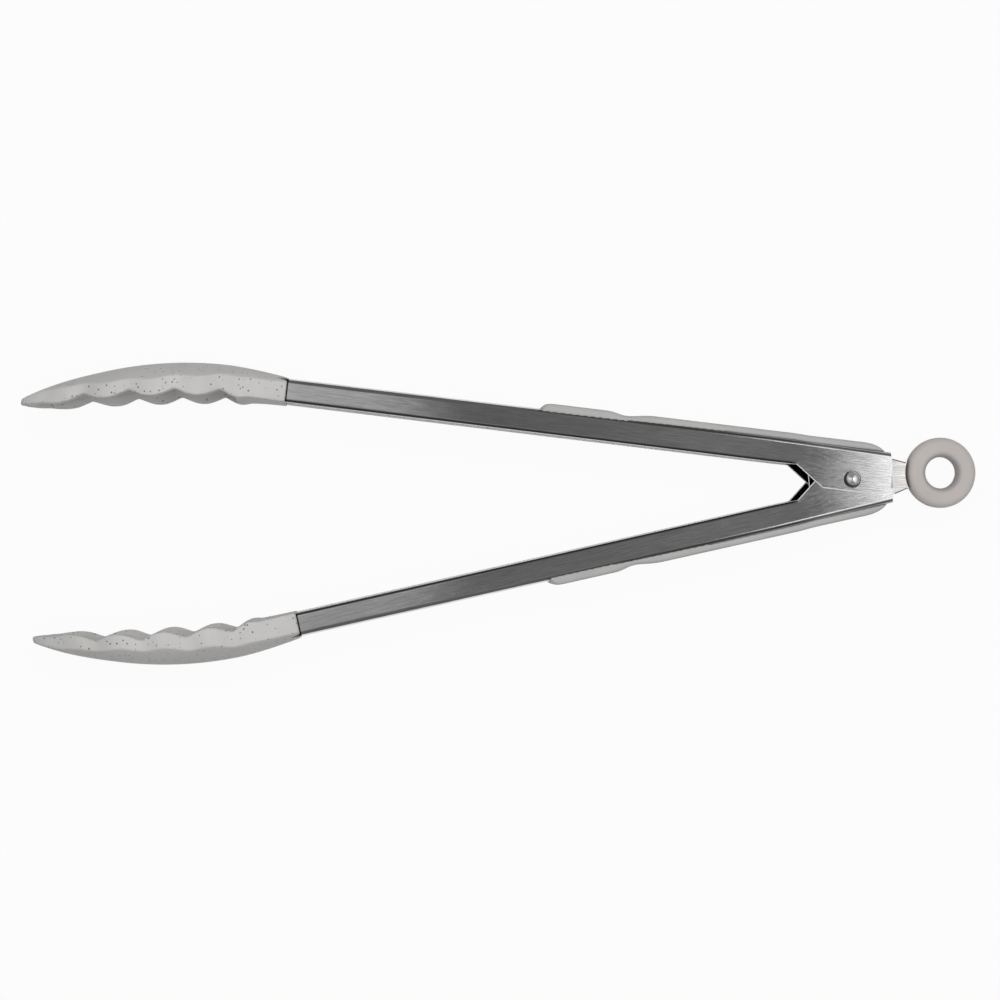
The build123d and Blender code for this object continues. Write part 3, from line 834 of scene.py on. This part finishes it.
class TONGS_OT_spring(bpy.types.Operator):
    """Double torsion spring: two coils on the pin, a bridge on the upper arm, legs on the lower"""
    bl_idname = "tongs.spring"
    bl_label = "Torsion spring"

    coil_reach = 4.2 * MM
    bend_reach = 11.0 * MM
    foot = (15.0 * MM, 9.25 * MM)

    def part(self, middle):
        """0 for the coils, 1 for the bridge on the upper side, -1 for the legs on the lower."""
        away = middle - hinge_place
        if away.xy.length < self.coil_reach:
            return 0
        return 1 if away.y > 0 else -1

    def execute(self, context):
        wire = spring_wire(context.scene.tongs.steel)
        for name, wanted in (("spring_coils", 0), ("spring_bridge", 1), ("spring_legs", -1)):
            shape = merged_copy("torsion_spring")
            rest = [face for face in shape.faces if self.part(face.calc_center_median()) != wanted]
            bmesh.ops.delete(shape, geom=rest, context="FACES")
            open_edges = [edge for edge in shape.edges if edge.is_boundary]
            bmesh.ops.holes_fill(shape, edges=open_edges, sides=0)
            piece = new_piece(name, shape, wire)
            if wanted == 0:
                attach(piece, "hinge")
            else:
                foot = jaw_frame(wanted) @ Vector((*self.foot, 0))
                foot.z = hinge_place.z
                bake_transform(piece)
            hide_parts("torsion_spring")
        return {"FINISHED"}


class TONGS_OT_hang_ring(bpy.types.Operator):
    """Soft hanging ring around the lock plate's eyelet"""
    bl_idname = "tongs.hang_ring"
    bl_label = "Hanging ring"

    hole_radius = 5.35 * MM
    outer_radius = 12.0 * MM

    def hollow_shade(self, nodes):
        """Mask of the painted shade: above 0 in the hole, and on the rim beside the plate."""
        spot = nodes.vector("SUBTRACT", place(nodes), (ring_low + ring_high) / 2)
        reach = nodes.measure("LENGTH", nodes.vector("MULTIPLY", spot, (1, 1, 0)))
        hole = nodes.fit(reach, self.hole_radius, 7.2 * MM, 0.35, 0.0, smooth=True)
        rim = nodes.fit(reach, 10.9 * MM, self.outer_radius, 0.0, 0.8, smooth=True)
        along = nodes.split(spot)["X"]
        by_plate = nodes.fit(along, -10.2 * MM, -11.6 * MM, 0.0, 1.0, smooth=True)
        return nodes.maths("MAXIMUM", hole, nodes.maths("MULTIPLY", rim, by_plate))

    def execute(self, context):
        soft = context.scene.tongs.silicone
        shade = tuple(0.93 * part for part in soft.ring)
        material = silicone("ring_silicone", soft.ring, shade, 0.5)
        # Painted shade in the hole and on the rim where the plate enters.
        darken(material, self.hollow_shade, (0.12, 0.105, 0.10, 1))
        ring = soft_copy(
            "soft_hang_ring", "hang_ring", material, soft.ring_skin, 6
        )
        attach(ring, "lock")
        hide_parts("hang_ring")
        return {"FINISHED"}


# ---- floor, light and camera ---------------------------------------------------------------
class TONGS_OT_stage(bpy.types.Operator):
    """Pale floor, soft light and camera"""
    bl_idname = "tongs.stage"
    bl_label = "Stage"

    floor_half = 3.0  # metres
    room = (
        (-1.0, 0.45), (-0.5, 0.68), (-0.2, 0.70), (-0.05, 0.58), (-0.028, 0.50), (-0.015, 0.45),
        (0.002, 0.50), (0.010, 0.52), (0.020, 0.40), (0.032, 0.12), (0.042, 0.11), (0.051, 0.16),
        (0.062, 0.14), (0.106, 0.155), (0.15, 0.20), (0.182, 0.20), (0.204, 0.10), (0.216, 0.11),
        (0.225, 0.50), (0.234, 1.35), (0.246, 1.80), (0.34, 1.60), (0.50, 0.95), (1.0, 0.70),
    )  # light of the room, by how far towards the hinge a direction points
    lamp_place = Vector((0.0, 0.12, 1.35))

    def execute(self, context):
        stage = context.scene.tongs.stage
        self.floor(stage)
        self.sky(context.scene, stage)
        self.lamp(stage)
        self.camera(context.scene, stage)
        context.scene.view_settings.view_transform = "Standard"
        return {"FINISHED"}

    def floor(self, stage):
        """Pale floor that shows almost white to the camera, and keeps a light shadow."""
        material, nodes, shader = new_material("floor")
        nodes.tree.nodes.remove(shader)
        paper = nodes.add("ShaderNodeBsdfDiffuse", {"Color": (*stage.floor, 1)}).outputs[0]
        white = stage.backdrop
        lit = {"Color": (white, white, white, 1), "Strength": 1.0}
        glow = nodes.add("ShaderNodeEmission", lit).outputs[0]
        path = nodes.add("ShaderNodeLightPath").outputs
        seen = nodes.maths("MAXIMUM", path["Is Camera Ray"], path["Is Glossy Ray"])
        seen = nodes.maths("MAXIMUM", seen, path["Is Transmission Ray"])
        factor = nodes.maths("MULTIPLY", seen, 1 - stage.shadow)
        both = nodes.add("ShaderNodeMixShader", {"Fac": factor, 1: paper, 2: glow}).outputs[0]
        nodes.feed(nodes.tree.nodes["Material Output"].inputs["Surface"], both)
        shape = bmesh.new()
        bmesh.ops.create_grid(shape, x_segments=12, y_segments=12, size=self.floor_half)
        mesh = bpy.data.meshes.new("floor")
        shape.to_mesh(mesh)
        shape.free()
        mesh.materials.append(material)
        floor = add_object("floor", mesh)

    def sky(self, scene, stage):
        """Even room, dimmer overhead where the ceiling is, with a wide pale wall past the hinge."""
        world = bpy.data.worlds.new("room")
        world.use_nodes = True
        nodes = Nodes(world.node_tree)
        axes = nodes.split(nodes.add("ShaderNodeTexCoord").outputs["Generated"])
        squares = nodes.maths(
            "ADD", nodes.maths("POWER", axes["Y"], 2.0), nodes.maths("POWER", axes["Z"], 2.0)
        )
        height = nodes.maths("MAXIMUM", nodes.maths("SQRT", squares), 0.08)
        sideways = nodes.maths("DIVIDE", axes["X"], height)
        levels = nodes.add("ShaderNodeValToRGB")
        nodes.feed(levels.inputs[0], nodes.fit(sideways, -1.0, 1.0, 0.0, 1.0))
        stops = levels.color_ramp.elements
        for number, (spot, value) in enumerate(self.room):
            position = (spot + 1) / 2
            stop = stops[number] if number < 2 else stops.new(position)
            stop.position = position
            stop.color = (value, value, value, 1)
        beside = nodes.maths("ADD", nodes.maths("ABSOLUTE", axes["Y"]), 0.03)
        ratio = nodes.maths("DIVIDE", nodes.maths("ABSOLUTE", axes["X"]), beside)
        ends = nodes.fit(ratio, 0.45, 1.4, 0.0, 1.0, smooth=True)
        overhead = nodes.fit(axes["Z"], 0.90, 0.97, 0.0, 1.0, smooth=True)
        ends = nodes.maths("MAXIMUM", ends, overhead)
        high_up = nodes.fit(axes["Z"], 0.2, 0.85, 0.0, 1.0, smooth=True)
        ends = nodes.maths("MULTIPLY", ends, high_up)
        rise = nodes.fit(sideways, 0.012, 0.042, -0.38, 0.42)
        fall = nodes.fit(sideways, 0.09, 0.15, 0.0, 0.42)
        change = nodes.maths("SUBTRACT", rise, fall)
        beyond = nodes.fit(axes["Y"], -0.01, -0.045, 0.0, 1.0)
        lower_side = nodes.maths("ADD", 1.0, nodes.maths("MULTIPLY", change, beyond))
        level = nodes.vector(
            "MULTIPLY", levels.outputs["Color"], nodes.join(lower_side, lower_side, lower_side)
        )
        dim = stage.sides
        tone = nodes.mix(ends, (dim, dim, dim, 1), level)
        path = nodes.add("ShaderNodeLightPath").outputs
        seen = nodes.maths("MAXIMUM", path["Is Camera Ray"], path["Is Transmission Ray"])
        background = world.node_tree.nodes["Background"]
        nodes.feed(background.inputs["Color"], nodes.mix(seen, tone, (1.0, 1.0, 1.0, 1)))
        background.inputs["Strength"].default_value = stage.sky
        scene.world = world

    def lamp(self, stage):
        """Large soft lamp above and behind."""
        data = bpy.data.lights.new("key", "AREA")
        data.shape = "RECTANGLE"
        data.size, data.size_y = 1.0, 1.0
        data.energy = stage.key
        lamp = add_object("key", data)
        lamp.location = self.lamp_place
        lamp.rotation_euler = (-self.lamp_place).to_track_quat("-Z", "Y").to_euler()
        lamp.visible_glossy = False

    def camera(self, scene, stage):
        data = bpy.data.cameras.new("camera")
        data.lens = stage.lens
        data.sensor_width = 36
        camera = add_object("camera", data)
        camera.location = stage.camera_place
        camera.rotation_euler = stage.camera_turn
        scene.camera = camera


OPERATORS = (
    TONGS_OT_arms, TONGS_OT_heads, TONGS_OT_grips, TONGS_OT_pin, TONGS_OT_lock_plate,
    TONGS_OT_spring, TONGS_OT_hang_ring, TONGS_OT_stage,
)


class TONGS_PT_panel(bpy.types.Panel):
    """Lists the pieces of the tongs"""
    bl_label = "Tongs"
    bl_space_type = "VIEW_3D"
    bl_region_type = "UI"
    bl_category = "Tongs"

    def draw(self, context):
        settings = context.scene.tongs
        for operator in OPERATORS:
            self.layout.operator(operator.bl_idname)
        for group in (settings.steel, settings.silicone, settings.stage):
            box = self.layout.box()
            for name in group.bl_rna.properties.keys():
                if name not in ("rna_type", "name"):
                    box.prop(group, name)


CLASSES = (TongsSteel, TongsSilicone, TongsStage, TongsSettings, *OPERATORS, TONGS_PT_panel)


def register():
    for item in CLASSES:
        bpy.utils.register_class(item)
    bpy.types.Scene.tongs = bpy.props.PointerProperty(type=TongsSettings)


def unregister():
    del bpy.types.Scene.tongs
    for item in reversed(CLASSES):
        bpy.utils.unregister_class(item)


def main():
    register()
    bpy.ops.tongs.arms()
    bpy.ops.tongs.heads()
    bpy.ops.tongs.grips()
    bpy.ops.tongs.pin()
    bpy.ops.tongs.lock_plate()
    bpy.ops.tongs.spring()
    bpy.ops.tongs.hang_ring()
    bpy.ops.tongs.stage()


if __name__ == "__main__":
    main()
